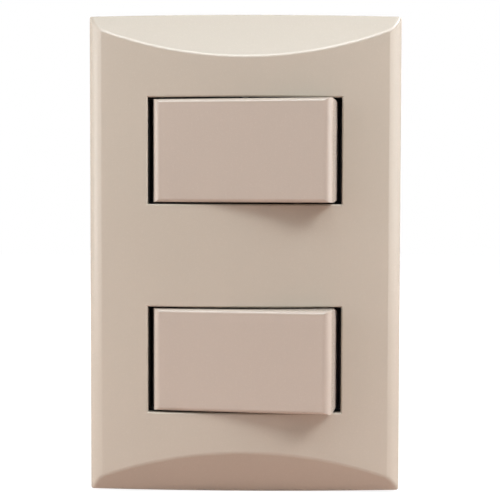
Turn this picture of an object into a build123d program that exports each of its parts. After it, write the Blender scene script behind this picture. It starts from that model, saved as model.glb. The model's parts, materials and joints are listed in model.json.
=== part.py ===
from build123d import *
import os
from math import cos, radians, sin, sqrt, tan

# Two-gang rocker light switch for a wall box, in millimetres.
# Every piece is drawn as it lies on a bench, face up: x across, y up the wall, z out from the wall.
# The wall is z = 0 and the middle of the cover plate is x = y = 0. Each piece is stood up as it is saved.

# Wall box and its two screws
box_pitch = 83.5
box_thread_radius = 1.75
box_thread_length = 22.0
box_neck_radius = 1.5
box_neck_past_chassis = 0.3
box_head_radius = 3.0
box_head_height = 2.0
box_head_chamfer = 0.9
box_slot_length = 7.0

# Cover plate
plate_width = 76.6
plate_height = 118.0
plate_wall = 2.0
rim_height = 2.8
front_radius = 163.0
bevel_angle = 30.0
band_width = 3.1
band_bulge = 0.3
edge_crown = 0.5
ridge_radius = 1.5
plate_corner_radius = 0.5
trim_overrun = 0.3
window_edge_chamfer = 0.3
rest_rib_length = 60.0
rest_rib_width = 1.2

# Clip hooks of the cover plate
hook_pitch = 72.0
hook_width = 8.0
hook_leg = 1.4
hook_barb = 0.8
hook_wall_gap = 0.3
hook_lip = 1.2
hook_land = 2.2

# Chassis
chassis_thickness = 2.4
chassis_side_gap = 2.5
chassis_end_gap = 2.7
chassis_corner_radius = 3.0
cross_rib_width = 1.4
cross_rib_height = 1.8
cross_rib_pitch = 14.0
ledge_wall = 0.9
ledge_break = 7.0
back_rib_width = 1.2
back_rib_depth = 2.0
back_rib_pitch = 11.0
back_rib_count = 5

# Rockers, measured from the axis that they tip about
rocker_width = 45.0
rocker_height = 25.3
rocker_wall = 1.4
rocker_side_draft = 4.5
rocker_end_draft = 1.0
rocker_tilt = 8.0
rocker_face = 6.3
rocker_skirt = 2.3
rocker_side_radius = 2.1
rocker_end_radius = 0.9
rocker_corner_chamfer = 0.7
rocker_rib_width = 1.2
rocker_rib_depth = 3.4
pivot_over_chassis = 2.1
pin_radius = 1.5
stem_wall = 0.95
stem_reach = 9.0
bore_top = 0.6

# Plungers and their springs
plunger_radius = 1.6
plunger_guide = 5.0
nose_length = 0.5
nose_end_radius = 1.0
spigot_length = 1.4
spring_wire = 0.4
spring_turns = 4.0
spring_runs_per_turn = 8
spring_wire_sides = 6

# Module housings
housing_wall = 1.2
flange_thickness = 1.2
flange_width = 2.4
tray_inset = 0.2
ear_land = 1.3
ear_thickness = 1.3
ear_foot = 9.0
end_wall_height = 2.4
end_wall_length = 34.0
clip_width = 8.0
clip_depth = 0.9
clip_length = 1.8
body_half_width = 20.0
body_end_step = 0.8
body_wall = 1.5
chamber_depth = 10.2

# Module bases
base_depth = 7.0
rim_wall = 1.2
rim_past_catch = 0.6
catch_width = 8.0
catch_depth = 0.9
catch_height = 1.1
catch_foot = 1.5
bay_length = 7.6
bay_ceiling = 1.5
pocket_depth = 4.0
pocket_wall = 1.5
pocket_rib = 1.2

# Terminals and contacts
strip_thickness = 0.8
strip_bend = 0.6
strip_end_gap = 0.8
fulcrum_length = 5.0
contact_thickness = 0.8
contact_width = 5.0
contact_tilt = 5.0
contact_bend = 0.8
contact_past_tip = 2.0
lug_length = 1.4
lug_overhang = 0.3
tip_radius = 1.7
tip_height = 0.6
tip_setback = 2.9
load_reach = 2.5
terminal_thread_radius = 1.7
terminal_head_radius = 2.6
terminal_head_height = 2.0
clamp_thickness = 1.0
wire_space = 1.2
screw_slot_width = 0.9
screw_slot_depth = 1.0

# Clearances
side_slot = 1.2
end_slot = 0.35
swing_gap = 0.9
plate_gap = 1.13
head_gap = 0.75
ear_gap = 0.3
pin_gap = 0.05
fit_gap = 0.15
window_gap = 0.3
plunger_gap = 0.2
contact_gap = 0.1
spring_end_gap = 0.05
spring_side_gap = 0.35
spigot_gap = 0.25
nearness = 0.01


def bow(x):
    """How far the bowed front of the plate has fallen back at a distance x from its middle line."""
    return front_radius - sqrt(front_radius**2 - x**2)


# Rocker and tray sizes that follow
side_lean = tan(radians(rocker_side_draft))
end_lean = tan(radians(rocker_end_draft))
tip_cos = cos(radians(rocker_tilt))
tip_sin = sin(radians(rocker_tilt))
pivot_height = chassis_thickness + pivot_over_chassis
bore_radius = plunger_radius + fit_gap
stem_radius = bore_radius + stem_wall
spring_radius = bore_radius - spring_side_gap - spring_wire / 2
spigot_radius = spring_radius - spring_wire / 2 - spigot_gap
tray_inner = rocker_width / 2 * tip_cos + rocker_skirt * tip_sin + swing_gap
tray_half_width = tray_inner + housing_wall
tray_half_height = rocker_height / 2 - tray_inset
tray_top = chassis_thickness + flange_thickness
flange_edge = tray_half_width + flange_width
floor_top = pivot_height - rocker_skirt * tip_cos - rocker_width / 2 * tip_sin - swing_gap
floor_back = floor_top - housing_wall
ear_radius = pin_radius + ear_land
ear_outside = rocker_height / 2 - rocker_wall - (ear_radius + rocker_skirt) * end_lean - ear_gap
ear_inside = ear_outside - ear_thickness
module_pitch = box_pitch - 2 * (box_head_radius + head_gap + tray_half_height)
module_places = [module_pitch / 2, -module_pitch / 2]

# Body, terminal and contact sizes that follow
body_half_height = tray_half_height - body_end_step
base_front = floor_back - chamber_depth
base_back = base_front - base_depth
bay_front = base_front - bay_ceiling
riser_inside = body_half_width - bay_length
terminal_inside = riser_inside + strip_thickness
terminal_outside = body_half_width - strip_end_gap
terminal_middle = (terminal_inside + terminal_outside) / 2
strip_width = contact_width + 2 * (lug_overhang + strip_thickness)
strip_front = base_front + strip_thickness
clamp_front = bay_front - strip_thickness - wire_space
clamp_back = clamp_front - clamp_thickness
tip_place = riser_inside - tip_setback
contact_arm = tip_place + contact_past_tip
fulcrum_height = strip_front + 2 * tip_height + contact_gap + contact_thickness / 2
plunger_reach = pivot_height - fulcrum_height - contact_thickness / 2 - plunger_gap
plunger_top = stem_reach - plunger_guide

# Plate and chassis sizes that follow
window_width = rocker_width + 2 * side_slot
window_height = rocker_height + 2 * end_slot
crest_height = tray_top + plate_gap + plate_wall + bow(flange_edge)
shoulder_height = crest_height - bow(plate_width / 2 - band_width)
bevel_slope = tan(radians(bevel_angle))
bevel_inside = (chassis_thickness - rim_height + plate_wall / cos(radians(bevel_angle))) / bevel_slope
chassis_half_width = plate_width / 2 - plate_wall - chassis_side_gap
chassis_half_height = plate_height / 2 - bevel_inside - chassis_end_gap
opening_half_width = tray_half_width + window_gap
opening_half_height = rocker_height / 2 + window_gap
lip_front = floor_back - fit_gap
lip_back = lip_front - ledge_wall
hook_barb_end = chassis_half_width - hook_land
hook_outside = hook_barb_end - hook_barb
hook_inside = hook_outside - hook_leg


def slab(x0, x1, y0, y1, z0, z1):
    """A block between two corners."""
    middle = Pos((x0 + x1) / 2, (y0 + y1) / 2, (z0 + z1) / 2)
    return middle * Box(x1 - x0, y1 - y0, z1 - z0)


def block(half_x, half_y, z0, z1):
    """A block about the z axis, between two heights."""
    return slab(-half_x, half_x, -half_y, half_y, z0, z1)


def post(radius, z0, z1):
    """A round post on the z axis, between two heights."""
    return Pos(0, 0, (z0 + z1) / 2) * Cylinder(radius, z1 - z0)


def along_y(section, half_length):
    """Carry a section drawn in x and z along y, the same length each way."""
    return extrude(Plane.XZ.offset(-half_length) * section, 2 * half_length)


def along_x(section, half_length):
    """Carry a section drawn in y and z along x, the same length each way."""
    return extrude(Plane.YZ.offset(-half_length) * section, 2 * half_length)


def outlined(*corners):
    """A flat face with these corners."""
    return make_face(Polyline(*corners, close=True))


def each_side(piece):
    """A piece and its mirror image, right and left."""
    return piece + mirror(piece, Plane.YZ)


def each_end(piece):
    """A piece and its mirror image, top and bottom."""
    return piece + mirror(piece, Plane.XZ)


def plate_cross_section(foot, overrun):
    """The plate cut across, down to z = foot: bowed front, and side bands carried past the rim."""
    half = plate_width / 2 + overrun
    band_start = plate_width / 2 - band_width
    band_foot = rim_height - overrun * (shoulder_height - rim_height) / band_width
    front = ThreePointArc((-band_start, shoulder_height), (0, crest_height), (band_start, shoulder_height))
    right_band = SagittaArc((band_start, shoulder_height), (half, band_foot), band_bulge)
    left_band = SagittaArc((-half, band_foot), (-band_start, shoulder_height), band_bulge)
    rim = Polyline((half, band_foot), (half, foot), (-half, foot), (-half, band_foot))
    return make_face(Curve() + [front, right_band, left_band, rim])


def plate_side_section(foot, overrun):
    """The plate cut up its middle, down to z = foot: bevels carried past the crest and past the rim."""
    half = plate_height / 2 + overrun
    past_crest = crest_height + plate_wall
    bevel_foot = rim_height - overrun * bevel_slope
    bevel_end = half - (past_crest - bevel_foot) / bevel_slope
    upper = [(half, foot), (half, bevel_foot), (bevel_end, past_crest)]
    lower = [(-y, z) for y, z in reversed(upper)]
    return outlined(*upper, *lower)


def plate_form(cross_section, side_section):
    """The lump that has one section across and the other from the side."""
    return along_y(cross_section, plate_height) & along_x(side_section, plate_width)


def plate_outline():
    """The plate seen from the front, with its top and bottom edges crowned."""
    half = plate_width / 2
    corner = plate_height / 2 - edge_crown
    top = ThreePointArc((-half, corner), (0, plate_height / 2), (half, corner))
    bottom = ThreePointArc((-half, -corner), (0, -plate_height / 2), (half, -corner))
    sides = [Line((x, corner), (x, -corner)) for x in (half, -half)]
    outline = make_face(Curve() + [top, bottom, *sides])
    return fillet(outline.vertices(), plate_corner_radius)


def on_ridge(edge):
    """Whether an edge lies where the bowed front, a bevel or a side band meet one another."""
    return max(vertex.Z for vertex in edge.vertices()) > shoulder_height - nearness


def on_window_rim(edge):
    """Whether an edge runs round a window on the plate's outer face."""
    middle = edge.center()
    outer = middle.Z > crest_height - bow(middle.X) - plate_wall / 2
    beside = abs(abs(middle.X) - window_width / 2) < nearness
    within = abs(middle.X) < window_width / 2
    at_end = any(abs(abs(middle.Y - y) - window_height / 2) < nearness for y in module_places)
    return outer and (beside or (within and at_end))


def clip_hook():
    """One hook: a leg down from the plate's front and a barb that catches behind the chassis lip."""
    leg = slab(hook_inside, hook_outside, -hook_width / 2, hook_width / 2, hook_wall_gap, crest_height)
    barb_front = chassis_thickness - hook_lip - fit_gap
    barb = outlined((hook_outside, hook_wall_gap), (hook_outside, barb_front), (hook_barb_end, barb_front))
    return leg + along_y(barb, hook_width / 2)


def wall_plate():
    """The moulded cover: a hollow bowed and bevelled lid with two windows, rest ribs and clip hooks."""
    lump = plate_form(plate_cross_section(0, trim_overrun), plate_side_section(0, trim_overrun))
    lump &= extrude(plate_outline(), crest_height)
    lump = fillet(lump.edges().filter_by(on_ridge), ridge_radius)
    core_foot = -2 * plate_wall
    core_sections = [plate_cross_section(core_foot, 0), plate_side_section(core_foot, 0)]
    core = plate_form(*[offset(section, -plate_wall, kind=Kind.INTERSECTION) for section in core_sections])
    rib_start = chassis_half_width - rest_rib_width
    half_rib = rest_rib_length / 2
    rib = slab(rib_start, chassis_half_width, -half_rib, half_rib, chassis_thickness, crest_height)
    hook = Pos(0, hook_pitch / 2, 0) * clip_hook()
    plate = (lump - core) + ((each_side(rib) + each_side(each_end(hook))) & lump)
    for y in module_places:
        plate -= Pos(0, y, 0) * block(window_width / 2, window_height / 2, 0, crest_height)
    return chamfer(plate.edges().filter_by(on_window_rim), window_edge_chamfer)


def module_ledge():
    """A ledge behind the top end of a module window, whose lip reaches in behind the tray's floor."""
    half = opening_half_width
    outside = opening_half_height + ledge_wall
    wall = slab(-half, half, opening_half_height, outside, lip_back, 0)
    lip = slab(-half, half, body_half_height + fit_gap, outside, lip_back, lip_front)
    return wall + lip


def back_ribs():
    """The stiffening behind the bar between the modules: upright ribs and one across them."""
    bar_half = module_pitch / 2 - opening_half_height
    ribs = block(opening_half_width, back_rib_width / 2, -back_rib_depth, 0)
    for i in range(back_rib_count):
        x = (i - (back_rib_count - 1) / 2) * back_rib_pitch
        ribs += Pos(x, 0, 0) * block(back_rib_width / 2, bar_half, -back_rib_depth, 0)
    return ribs


def chassis():
    """The flat frame behind the plate, with module windows, screw slots, hook slots, ledges and ribs."""
    outline = RectangleRounded(2 * chassis_half_width, 2 * chassis_half_height, chassis_corner_radius)
    frame = extrude(outline, chassis_thickness) + back_ribs()
    for y in module_places:
        frame -= Pos(0, y, 0) * block(opening_half_width, opening_half_height, 0, chassis_thickness)
        frame += Pos(0, y, 0) * each_end(module_ledge())
    lug_way = block(ledge_break, box_head_radius + head_gap + body_end_step, lip_back, 0)
    frame -= each_end(Pos(0, box_pitch / 2, 0) * lug_way)
    slot = SlotOverall(box_slot_length, 2 * (box_thread_radius + window_gap))
    frame -= each_end(Pos(0, box_pitch / 2, 0) * extrude(slot, chassis_thickness))
    half = hook_width / 2 + window_gap
    mouth = slab(hook_inside - window_gap, hook_outside + window_gap, -half, half, 0, chassis_thickness)
    recess = slab(hook_outside, hook_barb_end + window_gap, -half, half, 0, chassis_thickness - hook_lip)
    frame -= each_side(each_end(Pos(0, hook_pitch / 2, 0) * (mouth + recess)))
    rib_top = chassis_thickness + cross_rib_height
    rib = block(tray_half_width, cross_rib_width / 2, chassis_thickness, rib_top)
    return frame + each_end(Pos(0, cross_rib_pitch / 2, 0) * rib)


def slotted_screw(half_profile, head_top, head_radius):
    """Turn a half profile, drawn in radius and height, about its axis and cut the slot across its head."""
    screw = revolve(Plane.XZ * outlined(*half_profile), Axis.Z)
    return screw - block(head_radius, screw_slot_width / 2, head_top - screw_slot_depth, head_top)


def box_screws():
    """The two screws that hold the chassis to the wall box: chamfered head, plain neck and thread."""
    neck_end = -box_neck_past_chassis
    tip = neck_end - box_thread_length
    head_top = chassis_thickness + box_head_height
    half_profile = [
        (0, head_top),
        (box_head_radius - box_head_chamfer, head_top),
        (box_head_radius, head_top - box_head_chamfer),
        (box_head_radius, chassis_thickness),
        (box_neck_radius, chassis_thickness),
        (box_neck_radius, neck_end),
        (box_thread_radius, neck_end),
        (box_thread_radius, tip),
        (0, tip),
    ]
    screw = slotted_screw(half_profile, head_top, box_head_radius)
    return [Pos(0, y, 0) * screw for y in (box_pitch / 2, -box_pitch / 2)]


def drafted_section(width, front, lean):
    """A rocker's cap cut through: sides that lean in from the skirt to a flat front at z = front."""
    half_foot = width / 2
    half_front = half_foot - (front + rocker_skirt) * lean
    return outlined(
        (-half_foot, -rocker_skirt), (half_foot, -rocker_skirt), (half_front, front), (-half_front, front)
    )


def rounded_front(section, radius):
    """Round the two front corners of a section."""
    return fillet(section.vertices().sort_by(Axis.Y)[-2:], radius)


def rocker():
    """A rocker drawn level about its axis: drafted hollow cap, bored stem, cross rib and two inward pins."""
    across = rounded_front(drafted_section(rocker_width, rocker_face, side_lean), rocker_side_radius)
    up = rounded_front(drafted_section(rocker_height, rocker_face, end_lean), rocker_end_radius)
    outline = chamfer(Rectangle(rocker_width, rocker_height).vertices(), rocker_corner_chamfer)
    cap = extrude(Pos(0, 0, -rocker_skirt) * outline, rocker_skirt + rocker_face)
    cap &= along_y(across, rocker_height) & along_x(up, rocker_width)
    ceiling = rocker_face - rocker_wall
    inner_across = drafted_section(rocker_width - 2 * rocker_wall, ceiling, side_lean)
    inner_up = drafted_section(rocker_height - 2 * rocker_wall, ceiling, end_lean)
    hollow = along_y(inner_across, rocker_height) & along_x(inner_up, rocker_width)
    rib = block(rocker_width / 2, rocker_rib_width / 2, ceiling - rocker_rib_depth, ceiling)
    stem = post(stem_radius, -stem_reach, ceiling)
    bore = post(bore_radius, -stem_reach, bore_top)
    pin_root = rocker_height / 2 - rocker_wall / 2
    pin_middle = (pin_root + ear_inside) / 2
    pin = Pos(0, pin_middle, 0) * Rot(90, 0, 0) * Cylinder(pin_radius, pin_root - ear_inside)
    return (cap - hollow) + (rib & cap) + stem + each_end(pin) - bore


def plunger():
    """A plunger in its rocker's level frame: guided body, coned nose and a spigot for the spring."""
    half_profile = [
        (0, -plunger_reach),
        (nose_end_radius, -plunger_reach),
        (plunger_radius, -plunger_reach + nose_length),
        (plunger_radius, -plunger_top),
        (spigot_radius, -plunger_top),
        (spigot_radius, -plunger_top + spigot_length),
        (0, -plunger_top + spigot_length),
    ]
    return revolve(Plane.XZ * outlined(*half_profile), Axis.Z)


def plunger_spring():
    """The coil spring between the plunger's shoulder and the end of the bore, in short straight runs."""
    foot = -plunger_top + spring_end_gap + spring_wire / 2
    height = bore_top - spring_end_gap - spring_wire / 2 - foot
    coil = Helix(pitch=height / spring_turns, height=height, radius=spring_radius, center=(0, 0, foot))
    runs = round(spring_turns * spring_runs_per_turn)
    path = Polyline(*[coil @ (i / runs) for i in range(runs + 1)])
    wire = Plane(origin=path @ 0, z_dir=path % 0) * RegularPolygon(spring_wire / 2, spring_wire_sides)
    return sweep(wire, path, transition=Transition.RIGHT)


def bearing_ear():
    """One end wall of the tray: a low wall and, in its middle, an ear with the bearing hole for a pin."""
    low_wall = Pos(0, floor_top + end_wall_height / 2) * Rectangle(end_wall_length, end_wall_height)
    half_foot = ear_foot / 2
    flanks = outlined(
        (-half_foot, floor_top),
        (half_foot, floor_top),
        (ear_radius, pivot_height),
        (-ear_radius, pivot_height),
    )
    bearing = Pos(0, pivot_height) * Circle(pin_radius + pin_gap)
    section = low_wall + flanks + Pos(0, pivot_height) * Circle(ear_radius) - bearing
    return Pos(0, (ear_inside + ear_outside) / 2, 0) * along_y(section, ear_thickness / 2)


def housing():
    """A module body: rocker tray with side walls, flanges and clips, bearing ears and contact chamber."""
    tray = block(tray_half_width, tray_half_height, floor_back, tray_top)
    tray -= block(tray_inner, tray_half_height, floor_top, tray_top)
    flange = slab(
        tray_half_width, flange_edge, -tray_half_height, tray_half_height, chassis_thickness, tray_top
    )
    clip = outlined(
        (tray_half_width, -fit_gap),
        (tray_half_width + clip_depth, -fit_gap),
        (tray_half_width, -fit_gap - clip_length),
    )
    tray += each_side(flange) + each_side(along_y(clip, clip_width / 2)) + each_end(bearing_ear())
    body = block(body_half_width, body_half_height, base_front, floor_back)
    body -= block(body_half_width - body_wall, body_half_height - body_wall, base_front, floor_back)
    catch_back = base_front + catch_foot - fit_gap
    catch_front = base_front + catch_foot + catch_height + fit_gap
    body -= block(catch_width / 2 + window_gap, body_half_height, catch_back, catch_front)
    stem_way = (pivot_height - floor_back) * tip_sin + stem_radius / tip_cos + swing_gap
    return tray - block(stem_way, stem_radius + swing_gap, floor_back, floor_top) + body


def base():
    """A rear cover: cored block with two terminal bays, and a rim that catches inside the housing."""
    cover = block(body_half_width, body_half_height, base_back, base_front)
    rim_x = body_half_width - body_wall - fit_gap
    rim_y = body_half_height - body_wall - fit_gap
    catch_back = base_front + catch_foot
    rim_front = catch_back + catch_height + rim_past_catch
    rim = block(rim_x, rim_y, base_front, rim_front)
    rim -= block(rim_x - rim_wall, rim_y - rim_wall, base_front, rim_front)
    catch = outlined(
        (rim_y, catch_back), (rim_y + catch_depth, catch_back), (rim_y, catch_back + catch_height)
    )
    bay_half = strip_width / 2 + window_gap
    bay = slab(riser_inside - fit_gap, body_half_width, -bay_half, bay_half, base_back, bay_front)
    riser_half = strip_width / 2 + fit_gap
    riser_way = slab(
        riser_inside - fit_gap, terminal_inside + fit_gap, -riser_half, riser_half, bay_front, base_front
    )
    relief = terminal_thread_radius + window_gap
    screw_way = Pos(terminal_middle, 0, 0) * block(relief, relief, bay_front, base_front)
    pocket = slab(
        pocket_rib / 2,
        riser_inside - fit_gap - pocket_wall,
        pocket_rib / 2,
        body_half_height - pocket_wall,
        base_back,
        base_back + pocket_depth,
    )
    cover += rim + each_end(along_x(catch, catch_width / 2))
    return cover - each_side(bay + riser_way + screw_way + each_end(pocket))


def terminal_strip(reach):
    """A bent brass strip on the right: a leg in the terminal bay, a riser and a leg inwards to x = reach."""
    front = base_front + strip_thickness / 2
    back = bay_front - strip_thickness / 2
    riser = riser_inside + strip_thickness / 2
    path = FilletPolyline(
        (reach, front), (riser, front), (riser, back), (terminal_outside, back), radius=strip_bend
    )
    strip = along_y(trace(path, strip_thickness), strip_width / 2)
    return strip - Pos(terminal_middle, 0, 0) * post(terminal_thread_radius + pin_gap, base_back, bay_front)


def common_terminal():
    """The left strip, which reaches under the fulcrum and has two notched ears that carry the bridge."""
    strip = mirror(terminal_strip(-fulcrum_length / 2), Plane.YZ)
    ear_start = contact_width / 2 + lug_overhang
    ear_front = fulcrum_height + contact_thickness
    half = fulcrum_length / 2
    ear = slab(-half, half, ear_start, strip_width / 2, base_front, ear_front)
    notch_half = lug_length / 2 + fit_gap
    notch_back = fulcrum_height - contact_thickness / 2 - fit_gap
    notch = slab(-notch_half, notch_half, ear_start, strip_width / 2, notch_back, ear_front)
    return strip + each_end(ear - notch)


def load_terminal():
    """The right strip, which ends under the fixed contact."""
    return terminal_strip(tip_place - load_reach)


def fixed_tip():
    """The silver disc on the load strip."""
    return Pos(tip_place, 0, 0) * post(tip_radius, strip_front, strip_front + tip_height)


def moving_tip():
    """The silver disc under the bridge's right arm, which lies level at rest."""
    arm_back = fulcrum_height - contact_thickness / 2
    return Pos(tip_place, 0, 0) * post(tip_radius, arm_back - tip_height, arm_back)


def moving_contact():
    """The V-bent bridge on its fulcrum, at rest with its right arm level."""
    rise = contact_arm * tan(radians(contact_tilt))
    path = FilletPolyline((-contact_arm, rise), (0, 0), (contact_arm, rise), radius=contact_bend)
    bridge = along_y(trace(path, contact_thickness), contact_width / 2)
    lugs = Box(lug_length, strip_width + 2 * lug_overhang, contact_thickness)
    return Pos(0, 0, fulcrum_height) * Rot(0, contact_tilt, 0) * (bridge + lugs)


def terminal_screws():
    """The two terminal screws of a module, drawn head up and then turned to face the rear."""
    head_top = terminal_head_height - clamp_back
    half_profile = [
        (0, head_top),
        (terminal_head_radius, head_top),
        (terminal_head_radius, -clamp_back),
        (terminal_thread_radius, -clamp_back),
        (terminal_thread_radius, -base_front),
        (0, -base_front),
    ]
    screw = Rot(180, 0, 0) * slotted_screw(half_profile, head_top, terminal_head_radius)
    return [Pos(x, 0, 0) * screw for x in (terminal_middle, -terminal_middle)]


def terminal_clamps():
    """The two clamp plates of a module, each against its screw's head."""
    half_length = (terminal_outside - terminal_inside) / 2 - fit_gap
    plate = block(half_length, strip_width / 2, clamp_back, clamp_front)
    plate -= post(terminal_thread_radius + fit_gap, clamp_back, clamp_front)
    return [Pos(x, 0, 0) * plate for x in (terminal_middle, -terminal_middle)]


def tipped(piece):
    """Set a piece drawn in the rocker's level frame to its place at rest, left side pressed in."""
    return Pos(0, 0, pivot_height) * Rot(0, -rocker_tilt, 0) * piece


def save(name, pieces, up=0):
    """Lift pieces to their module's place, stand them against the wall and write them as one node."""
    solids = pieces if isinstance(pieces, list) else [pieces]
    stood = [Plane.XZ.location * Pos(0, up, 0) * piece for piece in solids]
    export_step(stood[0] if len(stood) == 1 else Compound(children=stood), f"parts/{name}.step")


os.makedirs("parts", exist_ok=True)
save("wall_plate", wall_plate())
save("chassis", chassis())
save("box_screws", box_screws())

module_pieces = {
    "rocker": tipped(rocker()),
    "plunger": tipped(plunger()),
    "plunger_spring": tipped(plunger_spring()),
    "housing": housing(),
    "base": base(),
    "common_terminal": common_terminal(),
    "load_terminal": load_terminal(),
    "fixed_tip": fixed_tip(),
    "moving_contact": moving_contact(),
    "moving_tip": moving_tip(),
    "terminal_screws": terminal_screws(),
    "terminal_clamps": terminal_clamps(),
}
for place, up in zip(("upper", "lower"), module_places):
    for name, pieces in module_pieces.items():
        save(f"{place}_{name}", pieces, up)
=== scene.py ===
import json
from math import cos, pi, radians, sin

import bpy
from mathutils import Matrix, Vector


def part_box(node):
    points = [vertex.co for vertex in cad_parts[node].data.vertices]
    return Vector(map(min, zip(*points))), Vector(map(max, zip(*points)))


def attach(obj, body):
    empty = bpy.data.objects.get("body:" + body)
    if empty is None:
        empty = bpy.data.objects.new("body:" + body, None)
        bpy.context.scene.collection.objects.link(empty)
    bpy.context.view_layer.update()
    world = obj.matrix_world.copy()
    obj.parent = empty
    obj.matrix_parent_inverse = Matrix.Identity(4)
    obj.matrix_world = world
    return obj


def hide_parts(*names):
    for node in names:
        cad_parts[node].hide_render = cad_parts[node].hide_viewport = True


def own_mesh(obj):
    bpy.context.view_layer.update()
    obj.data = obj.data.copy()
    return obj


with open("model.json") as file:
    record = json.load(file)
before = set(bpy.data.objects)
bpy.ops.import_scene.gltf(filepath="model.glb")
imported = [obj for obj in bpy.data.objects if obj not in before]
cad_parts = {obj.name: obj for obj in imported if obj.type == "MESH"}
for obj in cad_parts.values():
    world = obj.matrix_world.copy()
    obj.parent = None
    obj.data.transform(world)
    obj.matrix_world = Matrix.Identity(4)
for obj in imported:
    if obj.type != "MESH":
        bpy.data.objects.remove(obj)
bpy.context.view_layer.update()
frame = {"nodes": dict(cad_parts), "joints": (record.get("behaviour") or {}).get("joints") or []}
cad = frame["nodes"]


# The chassis is the flat frame that the two box screws pull against the wall box.
# It is injection moulded in charcoal plastic, and its tool was spark eroded, so it has a fine grain.
pattern_low, pattern_high = 0.3, 0.7
relief_strength = 0.6
plastic_ior = 1.5
flow_scale = 40


def speckle(tree, place, scale, detail):
    """A noise pattern fixed to the piece, in spots about 1 / scale metres across."""
    texture = tree.nodes.new("ShaderNodeTexNoise")
    texture.inputs["Scale"].default_value = scale
    texture.inputs["Detail"].default_value = detail
    tree.links.new(place, texture.inputs["Vector"])
    return texture.outputs["Fac"]


def two_tone(tree, pattern, colour, second):
    """A colour that drifts between two near tones with the pattern."""
    ramp = tree.nodes.new("ShaderNodeValToRGB")
    ramp.color_ramp.elements[0].position = pattern_low
    ramp.color_ramp.elements[0].color = (*colour, 1)
    ramp.color_ramp.elements[1].position = pattern_high
    ramp.color_ramp.elements[1].color = (*second, 1)
    tree.links.new(pattern, ramp.inputs["Fac"])
    return ramp.outputs["Color"]


def spread(tree, pattern, low, high):
    """The pattern's middle range, carried over to low and high."""
    carry = tree.nodes.new("ShaderNodeMapRange")
    carry.inputs["From Min"].default_value = pattern_low
    carry.inputs["From Max"].default_value = pattern_high
    carry.inputs["To Min"].default_value = low
    carry.inputs["To Max"].default_value = high
    tree.links.new(pattern, carry.inputs["Value"])
    return carry.outputs["Result"]


def relief(tree, pattern, depth):
    """Fine relief of about that depth, in metres, from the pattern."""
    bump = tree.nodes.new("ShaderNodeBump")
    bump.inputs["Strength"].default_value = relief_strength
    bump.inputs["Distance"].default_value = depth
    tree.links.new(pattern, bump.inputs["Height"])
    return bump.outputs["Normal"]


def moulded_plastic(name, colour, second, roughness, uneven, grain_scale, grain_depth):
    """Moulded plastic: a faint drift of tone from its flow, and the tool's grain in gloss and relief."""
    material = bpy.data.materials.new(name)
    material.use_nodes = True
    tree = material.node_tree
    shader = tree.nodes["Principled BSDF"]
    shader.inputs["IOR"].default_value = plastic_ior
    place = tree.nodes.new("ShaderNodeTexCoord").outputs["Object"]
    flow = speckle(tree, place, flow_scale, detail=2)
    grain = speckle(tree, place, grain_scale, detail=2)
    gloss = spread(tree, grain, roughness - uneven, roughness + uneven)
    tree.links.new(two_tone(tree, flow, colour, second), shader.inputs["Base Color"])
    tree.links.new(gloss, shader.inputs["Roughness"])
    tree.links.new(relief(tree, grain, grain_depth), shader.inputs["Normal"])
    return material


def clad(material, *names):
    """Give CAD nodes a finish, in every material slot that they have."""
    for name in names:
        for slot in cad[name].material_slots:
            slot.material = material


charcoal_plastic = moulded_plastic(
    "charcoal_plastic", colour=(0.040, 0.041, 0.043), second=(0.050, 0.051, 0.053),
    roughness=0.5, uneven=0.05, grain_scale=2600, grain_depth=0.00004,
)
clad(charcoal_plastic, "chassis")


# Two M3.5 screws hold the chassis to the wall box, under the cover plate.
# They are zinc-plated steel: a slotted cheese head, a short neck and a rolled thread with a turned tip.
patch_scale = 400
metal_uneven = 0.08


def worked_metal(name, colour, second, roughness, grain, depth):
    """Bare or plated metal: patches of tone, and marks drawn out by the grain's three scales."""
    material = bpy.data.materials.new(name)
    material.use_nodes = True
    tree = material.node_tree
    shader = tree.nodes["Principled BSDF"]
    shader.inputs["Metallic"].default_value = 1
    place = tree.nodes.new("ShaderNodeTexCoord").outputs["Object"]
    drawn = tree.nodes.new("ShaderNodeMapping")
    drawn.inputs["Scale"].default_value = grain
    tree.links.new(place, drawn.inputs["Vector"])
    patches = speckle(tree, place, patch_scale, detail=4)
    marks = speckle(tree, drawn.outputs["Vector"], scale=1, detail=3)
    gloss = spread(tree, marks, roughness - metal_uneven, roughness + metal_uneven)
    tree.links.new(two_tone(tree, patches, colour, second), shader.inputs["Base Color"])
    tree.links.new(gloss, shader.inputs["Roughness"])
    tree.links.new(relief(tree, marks, depth), shader.inputs["Normal"])
    return material


zinc_plate = worked_metal(
    "zinc_plate", colour=(0.62, 0.63, 0.63), second=(0.52, 0.54, 0.57),
    roughness=0.3, grain=(2500, 2500, 2500), depth=0.00001,
)
square_on = 0.9
head_sides = 64
head_steps = 6
rod_sides = 48
thread_steps = 32
screw_crease = radians(35)


def only(piece):
    """Select one object alone and make it the active one."""
    bpy.ops.object.select_all(action="DESELECT")
    piece.select_set(True)
    bpy.context.view_layer.objects.active = piece


def settle(piece):
    """Put the object's place, turn and scale into its mesh."""
    only(piece)
    bpy.ops.object.transform_apply(location=True, rotation=True, scale=True)
    return piece


def pick_end(piece, side):
    """Leave edit mode open with the faces selected that look up, for side 1, or down, for side -1."""
    only(piece)
    bpy.ops.object.mode_set(mode="EDIT")
    bpy.context.tool_settings.mesh_select_mode = (False, False, True)
    bpy.ops.mesh.select_all(action="DESELECT")
    bpy.ops.object.mode_set(mode="OBJECT")
    for face in piece.data.polygons:
        face.select = side * face.normal.z > square_on
    bpy.ops.object.mode_set(mode="EDIT")


def apply_modifier(piece, kind, **settings):
    """Add one modifier with its settings and apply it."""
    only(piece)
    modifier = piece.modifiers.new(kind.lower(), kind)
    for name, value in settings.items():
        setattr(modifier, name, value)
    bpy.ops.object.modifier_apply(modifier=modifier.name)


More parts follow.
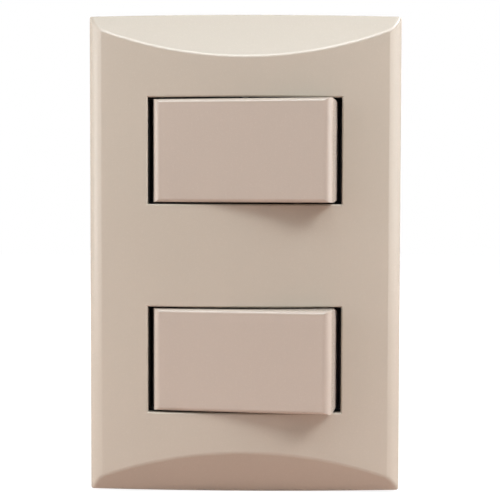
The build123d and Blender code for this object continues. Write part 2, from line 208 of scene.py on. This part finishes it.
def combine(piece, tool, operation):
    """Cut, trim or join one solid with another, which is used up."""
    apply_modifier(piece, "BOOLEAN", operation=operation, solver="MANIFOLD", object=tool)
    bpy.data.objects.remove(tool)


def wind(outline, pitch, turns, steps):
    """Wind a closed outline round Z, fill its two ends and turn its faces outwards."""
    apply_modifier(
        outline, "SCREW", axis="Z", screw_offset=pitch, iterations=turns, steps=steps, render_steps=steps
    )
    bpy.ops.object.mode_set(mode="EDIT")
    bpy.ops.mesh.select_all(action="SELECT")
    bpy.ops.mesh.fill_holes(sides=0)
    bpy.ops.mesh.select_all(action="SELECT")
    bpy.ops.mesh.normals_make_consistent(inside=False)
    bpy.ops.object.mode_set(mode="OBJECT")


def round_bar(sides, radius, top, bottom):
    """A bar on Z, turned by a quarter of a side, so that its edges miss those of the thread."""
    bpy.ops.object.select_all(action="DESELECT")
    bpy.ops.mesh.primitive_cylinder_add(
        vertices=sides, radius=radius, depth=top - bottom, location=(0, 0, (top + bottom) / 2),
        rotation=(0, 0, pi / (2 * sides)),
    )
    return settle(bpy.context.object)


def turned_blank(radius, top, bottom, chamfer):
    """A bar on Z with its lower rim turned off at 45 degrees."""
    blank = round_bar(rod_sides, radius, top, bottom)
    pick_end(blank, -1)
    bpy.ops.mesh.bevel(offset=chamfer, segments=1, affect="EDGES")
    bpy.ops.object.mode_set(mode="OBJECT")
    return blank


def thread_ridge(radius, depth, pitch, top, bottom):
    """A V thread wound round Z: one closed ridge, with its foot sunk into the rod that carries it.

    It starts two turns below the bottom, so that the tip can be cut from a full thread.
    """
    crest = pitch / 8
    slope = (pitch / 2 - crest) / depth
    reach = depth + crest / 2
    low = bottom - 2 * pitch
    turns = round((top - bottom) / pitch) + 1
    section = (
        (radius - reach, 0, low),
        (radius, 0, low + slope * reach),
        (radius, 0, low + slope * reach + crest),
        (radius - reach, 0, low + 2 * slope * reach + crest),
    )
    bpy.ops.object.select_all(action="DESELECT")
    bpy.ops.mesh.primitive_circle_add(vertices=len(section), radius=pitch)
    ridge = bpy.context.object
    for point, corner in zip(ridge.data.vertices, section):
        point.co = corner
    wind(ridge, pitch, turns, thread_steps)
    return ridge


def slotted_screw(head, neck, rod, slot, edge, chamfer):
    """A slotted screw on Z, with the seat of its head at zero.

    head and neck are a radius and a length, rod is a radius, a pitch and a length, slot a width and a depth.
    """
    head_radius, head_height = head
    neck_radius, neck_length = neck
    rod_radius, rod_pitch, rod_length = rod
    slot_width, slot_depth = slot
    tip = -neck_length - rod_length
    run_out = neck_length / 2
    thread_top = run_out - neck_length
    thread_depth = 0.6 * rod_pitch
    trim_radius = 1.02 * rod_radius
    slot_run = 3 * head_radius
    screw = round_bar(head_sides, head_radius, head_height, 0)
    pick_end(screw, 1)
    bpy.ops.mesh.bevel(offset=edge, segments=head_steps, affect="EDGES")
    bpy.ops.object.mode_set(mode="OBJECT")
    pick_end(screw, -1)
    bpy.ops.mesh.inset(thickness=head_radius - neck_radius)
    bpy.ops.mesh.extrude_region_move(TRANSFORM_OT_translate={"value": (0, 0, -neck_length)})
    bpy.ops.object.mode_set(mode="OBJECT")
    core = turned_blank(rod_radius - thread_depth, thread_top, tip - rod_pitch, chamfer)
    combine(core, thread_ridge(rod_radius, thread_depth, rod_pitch, thread_top, tip), "UNION")
    combine(core, turned_blank(trim_radius, run_out, tip, chamfer), "INTERSECT")
    combine(screw, core, "UNION")
    bpy.ops.mesh.primitive_cube_add(size=1, location=(0, 0, head_height))
    cutter = bpy.context.object
    cutter.scale = (slot_run, slot_width, 2 * slot_depth)
    combine(screw, settle(cutter), "DIFFERENCE")
    only(screw)
    bpy.ops.object.shade_smooth_by_angle(angle=screw_crease)
    return screw


def set_screw(pattern, name, node, seat, lean):
    """A plated copy of a screw for a node, leant about X, with the seat of its head at that place.

    The joins leave the pattern with an empty material slot, which the plating takes.
    """
    only(pattern)
    bpy.ops.object.duplicate()
    screw = bpy.context.object
    screw.name = screw.data.name = name
    screw.rotation_euler = (lean, 0, 0)
    screw.location = seat
    settle(screw)
    screw.data.materials.clear()
    screw.data.materials.append(zinc_plate)
    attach(screw, "fixed_body")
    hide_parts(node)


box_head = (0.0030, 0.0020)
box_screw = slotted_screw(
    head=box_head, neck=(0.0015, 0.0027), rod=(0.00175, 0.0006, 0.0220),
    slot=(0.0009, 0.0010), edge=0.0008, chamfer=0.0005,
)
lowest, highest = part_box("box_screws")
seat = lowest.y + box_head[1]
for level, height in (("upper", highest.z - box_head[0]), ("lower", lowest.z + box_head[0])):
    set_screw(box_screw, f"{level}_box_screw", "box_screws", (0, seat, height), radians(90))
bpy.data.objects.remove(box_screw)


# Each module's housing is the moulded box behind a rocker: tray, bearing ears and contact chamber.
# It is near-black plastic, a little glossier than the chassis that it clips into.
black_plastic = moulded_plastic(
    "black_plastic", colour=(0.012, 0.012, 0.013), second=(0.017, 0.017, 0.018),
    roughness=0.42, uneven=0.05, grain_scale=2200, grain_depth=0.00003,
)
clad(black_plastic, "upper_housing", "lower_housing")


# Each base closes its module's contact chamber from behind and carries the terminals.
# It is moulded in a mid-grey, heat-proof plastic with a duller skin.
grey_plastic = moulded_plastic(
    "grey_plastic", colour=(0.125, 0.127, 0.130), second=(0.150, 0.152, 0.155),
    roughness=0.55, uneven=0.05, grain_scale=1800, grain_depth=0.00005,
)
clad(grey_plastic, "upper_base", "lower_base")


# The common and load terminals are punched and bent from brass strip, as is the bridge that seesaws.
# Rolling leaves fine lines along the strip, and the brass has begun to dull.
strip_brass = worked_metal(
    "strip_brass", colour=(0.72, 0.50, 0.20), second=(0.60, 0.39, 0.14),
    roughness=0.32, grain=(300, 6000, 6000), depth=0.000012,
)
clad(strip_brass, "upper_common_terminal", "lower_common_terminal")
clad(strip_brass, "upper_load_terminal", "lower_load_terminal")
clad(strip_brass, "upper_moving_contact", "lower_moving_contact")


# The contact tips are silver rivets, pressed flat, one on each load terminal and one on each bridge.
# Their faces are bright, with the grey bloom that silver takes.
contact_silver = worked_metal(
    "contact_silver", colour=(0.80, 0.79, 0.76), second=(0.66, 0.64, 0.60),
    roughness=0.25, grain=(5000, 5000, 5000), depth=0.000008,
)
clad(contact_silver, "upper_fixed_tip", "lower_fixed_tip", "upper_moving_tip", "lower_moving_tip")


# Each terminal has a slotted M3.5 screw and a pressed clamp plate that grips the wire.
# Both are zinc-plated steel, and the screws go in from behind the module.
clad(zinc_plate, "upper_terminal_clamps", "lower_terminal_clamps")
terminal_head = (0.0026, 0.0020)
terminal_screw = slotted_screw(
    head=terminal_head, neck=(0.0015, 0.0006), rod=(0.0017, 0.0006, 0.0039),
    slot=(0.0009, 0.0010), edge=0.0005, chamfer=0.0004,
)
for level in ("upper", "lower"):
    lowest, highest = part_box(f"{level}_terminal_screws")
    across = highest.x - terminal_head[0]
    seat = highest.y - terminal_head[1]
    height = (lowest.z + highest.z) / 2
    for side, place in (("left", -across), ("right", across)):
        set_screw(
            terminal_screw, f"{level}_{side}_terminal_screw", f"{level}_terminal_screws",
            (place, seat, height), radians(-90),
        )
bpy.data.objects.remove(terminal_screw)


# Each plunger is a pin of natural nylon that slides in its rocker's stem and wipes over the bridge.
# It is milky, waxy and slightly uneven in tone.
milk_nylon = moulded_plastic(
    "milk_nylon", colour=(0.72, 0.71, 0.66), second=(0.64, 0.63, 0.57),
    roughness=0.38, uneven=0.04, grain_scale=1500, grain_depth=0.00002,
)
clad(milk_nylon, "upper_plunger", "lower_plunger")


# A coil spring sits in each rocker's stem, over the plunger's spigot, and drives the plunger out.
# It is wound from round spring wire, and in the real switch it shortens as the plunger slides in.
coil_radius = 0.0012
wire_radius = 0.0002
wire_sides = 16
wire_crease = radians(40)
coil_turns = 4
coil_steps = 48
coil_foot = -0.00375
coil_head = 0.00035
coil_pitch = (coil_head - coil_foot) / coil_turns
joints = {joint["name"]: joint for joint in frame["joints"]}
spring_steel = worked_metal(
    "spring_steel", colour=(0.42, 0.42, 0.43), second=(0.34, 0.34, 0.36),
    roughness=0.28, grain=(4000, 4000, 4000), depth=0.000006,
)
for level in ("upper", "lower"):
    outward = Vector(joints[f"{level}_plunger_slide"]["axis"]).normalized()
    pivot = Vector(joints[f"{level}_rocker_hinge"]["pos_m"])
    bpy.ops.object.select_all(action="DESELECT")
    bpy.ops.mesh.primitive_circle_add(
        vertices=wire_sides, radius=wire_radius, location=(coil_radius, 0, coil_foot),
        rotation=(radians(90), 0, 0),
    )
    spring = settle(bpy.context.object)
    spring.name = spring.data.name = f"{level}_coil_spring"
    wind(spring, coil_pitch, coil_turns, coil_steps)
    bpy.ops.object.shade_smooth_by_angle(angle=wire_crease)
    spring.rotation_mode = "QUATERNION"
    spring.rotation_quaternion = Vector((0, 0, 1)).rotation_difference(outward)
    spring.location = pivot
    settle(spring)
    spring.data.materials.append(spring_steel)
    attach(spring, f"{level}_rocker_body")
    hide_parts(f"{level}_plunger_spring")
    seat = pivot + outward * (coil_head + wire_radius)
    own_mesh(spring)


# The two rockers are moulded caps that tip about their middle in the plate's windows.
# They are the plate's beige, a touch pinker, with the same smooth, half-bright skin.
rocker_beige = moulded_plastic(
    "rocker_beige", colour=(0.452, 0.398, 0.347), second=(0.458, 0.404, 0.353),
    roughness=0.26, uneven=0.02, grain_scale=6000, grain_depth=0.000001,
)
clad(rocker_beige, "upper_rocker", "lower_rocker")


# The cover plate clips over everything: one beige moulding, bowed in front and bevelled at both ends.
# Its skin is smooth and half bright, so that its ridges and side bands catch the light.
plate_beige = moulded_plastic(
    "plate_beige", colour=(0.462, 0.423, 0.361), second=(0.468, 0.429, 0.367),
    roughness=0.26, uneven=0.02, grain_scale=6000, grain_depth=0.000001,
)
clad(plate_beige, "wall_plate")


# The studio: the switch stands on a pale, warm table in a white room.
# To the camera the table shows a painted white glow, as in a catalogue picture, dimmed near the switch as
# painted shade, over which its soft real contact shadow falls.
table_top = -0.0592
table_size = 2.4
painted_shade_reach = 0.35
# The glow is painted light, and near_glow is its painted shade close to the switch.
far_glow, near_glow = 1.0, 0.9
bpy.ops.object.select_all(action="DESELECT")
bpy.ops.mesh.primitive_grid_add(
    x_subdivisions=2, y_subdivisions=2, size=table_size, location=(0, 0, table_top)
)
table = settle(bpy.context.object)
table.name = table.data.name = "studio_table"
pale_table = bpy.data.materials.new("pale_table")
pale_table.use_nodes = True
tree = pale_table.node_tree
warm = tree.nodes["Principled BSDF"]
warm.inputs["Base Color"].default_value = (0.63, 0.44, 0.375, 1)
warm.inputs["Roughness"].default_value = 0.6
# The camera sees this painted white glow, with a little real lamplight on its grey base.
white = tree.nodes.new("ShaderNodeBsdfPrincipled")
white.inputs["Base Color"].default_value = (0.16, 0.16, 0.16, 1)
white.inputs["Roughness"].default_value = 0.8
white.inputs["Emission Color"].default_value = (1, 1, 1, 1)
# The glow dims towards the switch within this reach: painted shade, which lets the real contact shadow show.
nearness = tree.nodes.new("ShaderNodeTexGradient")
nearness.gradient_type = "SPHERICAL"
shrink = tree.nodes.new("ShaderNodeMapping")
shrink.inputs["Scale"].default_value = (1 / painted_shade_reach, 1 / painted_shade_reach, 1 / painted_shade_reach)
tree.links.new(tree.nodes.new("ShaderNodeTexCoord").outputs["Object"], shrink.inputs["Vector"])
tree.links.new(shrink.outputs["Vector"], nearness.inputs["Vector"])
glow = spread(tree, nearness.outputs["Fac"], far_glow, near_glow)
tree.links.new(glow, white.inputs["Emission Strength"])
sight = tree.nodes.new("ShaderNodeLightPath")
pick = tree.nodes.new("ShaderNodeMixShader")
tree.links.new(sight.outputs["Is Camera Ray"], pick.inputs["Fac"])
tree.links.new(warm.outputs["BSDF"], pick.inputs[1])
tree.links.new(white.outputs["BSDF"], pick.inputs[2])
tree.links.new(pick.outputs["Shader"], tree.nodes["Material Output"].inputs["Surface"])
table.data.materials.append(pale_table)


# The room is white to the camera alone. To the switch it is nearly dark, so that the lamps model its form.
# A cool trace of it is left, to lift the deepest shadows.
room = bpy.data.worlds.new("white_room")
bpy.context.scene.world = room
room.use_nodes = True
tree = room.node_tree
seen = tree.nodes["Background"]
seen.inputs["Color"].default_value = (1, 1, 1, 1)
lit = tree.nodes.new("ShaderNodeBackground")
lit.inputs["Color"].default_value = (0.97, 0.98, 1, 1)
lit.inputs["Strength"].default_value = 0.02
path = tree.nodes.new("ShaderNodeLightPath")
choose = tree.nodes.new("ShaderNodeMixShader")
tree.links.new(path.outputs["Is Camera Ray"], choose.inputs["Fac"])
tree.links.new(lit.outputs["Background"], choose.inputs[1])
tree.links.new(seen.outputs["Background"], choose.inputs[2])
tree.links.new(choose.outputs["Shader"], tree.nodes["World Output"].inputs["Surface"])


# Soft lamps stand round the switch, each given by its bearing, distance, size and brightness.
# A fill lights only the matt colour and a glint only the shine, so that the two can be set apart.
# Each glint stands a little in front of the fills, which would hide it from the switch.
white_light = (1, 1, 1)
cool_white = (0.92, 0.98, 1)
fill_distance = 0.60
glint_distance = 0.57
rear_distance = 0.70
for name, azimuth, elevation, distance, size, brightness, seen_by in (
    ("key_softbox", 60, 40, fill_distance, (0.20, 0.20), 22.6, "all"),
    ("left_softbox", -50, 22, fill_distance, (0.16, 0.20), 4.8, "all"),
    ("left_fill", -79, 10, fill_distance, (0.24, 0.44), 11.9, "matt"),
    ("left_glint", -79, 10, glint_distance, (0.24, 0.44), 2.7, "gloss"),
    ("near_left_glint", -60, 8, glint_distance, (0.14, 0.44), 1.3, "gloss"),
    ("right_fill", 92, 10, fill_distance, (0.28, 0.44), 6.4, "matt"),
    ("right_glint", 86, 8, glint_distance, (0.20, 0.44), 2.6, "gloss"),
    ("near_right_glint", 66, 8, glint_distance, (0.16, 0.44), 3.2, "gloss"),
    ("overhead_fill", 0, 61, fill_distance, (0.56, 0.20), 3.9, "matt"),
    ("overhead_glint", 0, 61, glint_distance, (0.56, 0.20), 4.6, "gloss"),
    ("ridge_strip", 0, 45, glint_distance, (0.64, 0.06), 25, "gloss"),
    ("rear_right", 145, 30, rear_distance, (0.30, 0.40), 4, "all"),
    ("rear_left", -145, 30, rear_distance, (0.30, 0.40), 4, "all"),
):
    turn, rise = radians(azimuth), radians(elevation)
    where = distance * Vector((sin(turn) * cos(rise), -cos(turn) * cos(rise), sin(rise)))
    bpy.ops.object.light_add(type="AREA", location=where)
    lamp = bpy.context.object
    lamp.name = lamp.data.name = name
    lamp.rotation_euler = where.to_track_quat("Z", "Y").to_euler()
    lamp.data.shape = "RECTANGLE"
    lamp.data.size, lamp.data.size_y = size
    lamp.data.energy = brightness * pi * size[0] * size[1]
    lamp.data.color = cool_white if seen_by == "gloss" else white_light
    lamp.visible_camera = False
    lamp.visible_diffuse = seen_by != "gloss"
    lamp.visible_glossy = seen_by != "matt"


# The camera stands as the photograph's did: in front, a little above and to the right of the middle.
# Its place, lean and focal length were fitted to the outline, ridges and windows of the plate.
camera_aim = Vector((0.0012, 0, 0.00105))
camera_distance = 0.315434
camera_pitch, camera_yaw, camera_roll = radians(2.55), radians(0.89), radians(0.126)
focal_pixels, picture_pixels = 1262.43, 500
sensor_width = 36
bpy.ops.object.camera_add()
camera = bpy.context.object
turn = (
    Matrix.Rotation(camera_yaw, 3, "Z")
    @ Matrix.Rotation(pi / 2 - camera_pitch, 3, "X")
    @ Matrix.Rotation(camera_roll, 3, "Z")
)
camera.rotation_euler = turn.to_euler()
camera.location = camera_aim + camera_distance * turn.col[2]
camera.data.sensor_width = sensor_width
camera.data.lens = focal_pixels / picture_pixels * sensor_width
bpy.context.scene.camera = camera
bpy.context.scene.view_settings.view_transform = "Standard"
